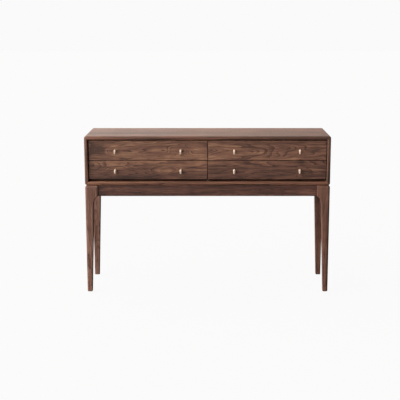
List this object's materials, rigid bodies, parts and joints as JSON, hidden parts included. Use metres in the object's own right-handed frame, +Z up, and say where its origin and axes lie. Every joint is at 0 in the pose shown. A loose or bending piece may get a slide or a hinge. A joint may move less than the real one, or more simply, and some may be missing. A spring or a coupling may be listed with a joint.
{
  "type": "console table",
  "caption": "Walnut console table: a mitred case of inset drawers with small brass drop knobs, on slim square legs that flare into the aprons.",
  "frame": {"origin": "on the floor, under the middle of the whole table's box, knobs included", "axes": "+X along the table to the right as seen from the front, +Y from the drawer fronts to the back, +Z up"},
  "size_m": [1.2, 0.3496, 0.78],
  "materials": {
    "case_walnut": "satin oiled walnut, grain along each panel",
    "front_walnut": "satin oiled walnut with figured grain running across the front",
    "leg_walnut": "satin oiled solid walnut, grain along the leg",
    "apron_walnut": "satin oiled solid walnut, grain along the apron",
    "back_walnut": "plain walnut veneer, matt",
    "box_wood": "pale drawer lining wood, matt lacquer",
    "inner_wood": "plain hardwood, bare and matt",
    "knob_brass": "satin pale brass",
    "screw_steel": "bright zinc plated"
  },
  "bodies": {
    "table": {"top_panel": "case_walnut", "right_side_panel": "case_walnut", "bottom_panel": "case_walnut", "left_side_panel": "case_walnut", "back_panel": "back_walnut", "centre_divider": "back_walnut", "front_left_leg": "leg_walnut", "front_right_leg": "leg_walnut", "back_right_leg": "leg_walnut", "back_left_leg": "leg_walnut", "front_apron": "apron_walnut", "right_apron": "apron_walnut", "back_apron": "apron_walnut", "left_apron": "apron_walnut", "left_cross_rail": "inner_wood", "right_cross_rail": "inner_wood", "upper_left_outer_runner": "inner_wood", "upper_left_inner_runner": "inner_wood", "upper_right_outer_runner": "inner_wood", "upper_right_inner_runner": "inner_wood", "lower_left_outer_runner": "inner_wood", "lower_left_inner_runner": "inner_wood", "lower_right_outer_runner": "inner_wood", "lower_right_inner_runner": "inner_wood"},
    "upper_left_drawer": {"upper_left_drawer_front": "front_walnut", "upper_left_drawer_left_side": "box_wood", "upper_left_drawer_right_side": "box_wood", "upper_left_drawer_back": "box_wood", "upper_left_drawer_bottom": "box_wood", "upper_left_drawer_left_knob": "knob_brass", "upper_left_drawer_left_knob_screw": "screw_steel", "upper_left_drawer_right_knob": "knob_brass", "upper_left_drawer_right_knob_screw": "screw_steel"},
    "upper_right_drawer": {"upper_right_drawer_front": "front_walnut", "upper_right_drawer_left_side": "box_wood", "upper_right_drawer_right_side": "box_wood", "upper_right_drawer_back": "box_wood", "upper_right_drawer_bottom": "box_wood", "upper_right_drawer_left_knob": "knob_brass", "upper_right_drawer_left_knob_screw": "screw_steel", "upper_right_drawer_right_knob": "knob_brass", "upper_right_drawer_right_knob_screw": "screw_steel"},
    "lower_left_drawer": {"lower_left_drawer_front": "front_walnut", "lower_left_drawer_left_side": "box_wood", "lower_left_drawer_right_side": "box_wood", "lower_left_drawer_back": "box_wood", "lower_left_drawer_bottom": "box_wood", "lower_left_drawer_left_knob": "knob_brass", "lower_left_drawer_left_knob_screw": "screw_steel", "lower_left_drawer_right_knob": "knob_brass", "lower_left_drawer_right_knob_screw": "screw_steel"},
    "lower_right_drawer": {"lower_right_drawer_front": "front_walnut", "lower_right_drawer_left_side": "box_wood", "lower_right_drawer_right_side": "box_wood", "lower_right_drawer_back": "box_wood", "lower_right_drawer_bottom": "box_wood", "lower_right_drawer_left_knob": "knob_brass", "lower_right_drawer_left_knob_screw": "screw_steel", "lower_right_drawer_right_knob": "knob_brass", "lower_right_drawer_right_knob_screw": "screw_steel"}
  },
  "joints": [
    {"name": "upper_left_drawer_slide", "type": "slide", "parent": "table", "child": "upper_left_drawer", "axis": [0, -1, 0], "range_m": [0, 0.215]},
    {"name": "upper_right_drawer_slide", "type": "slide", "parent": "table", "child": "upper_right_drawer", "axis": [0, -1, 0], "range_m": [0, 0.215]},
    {"name": "lower_left_drawer_slide", "type": "slide", "parent": "table", "child": "lower_left_drawer", "axis": [0, -1, 0], "range_m": [0, 0.215]},
    {"name": "lower_right_drawer_slide", "type": "slide", "parent": "table", "child": "lower_right_drawer", "axis": [0, -1, 0], "range_m": [0, 0.215]}
  ]
}
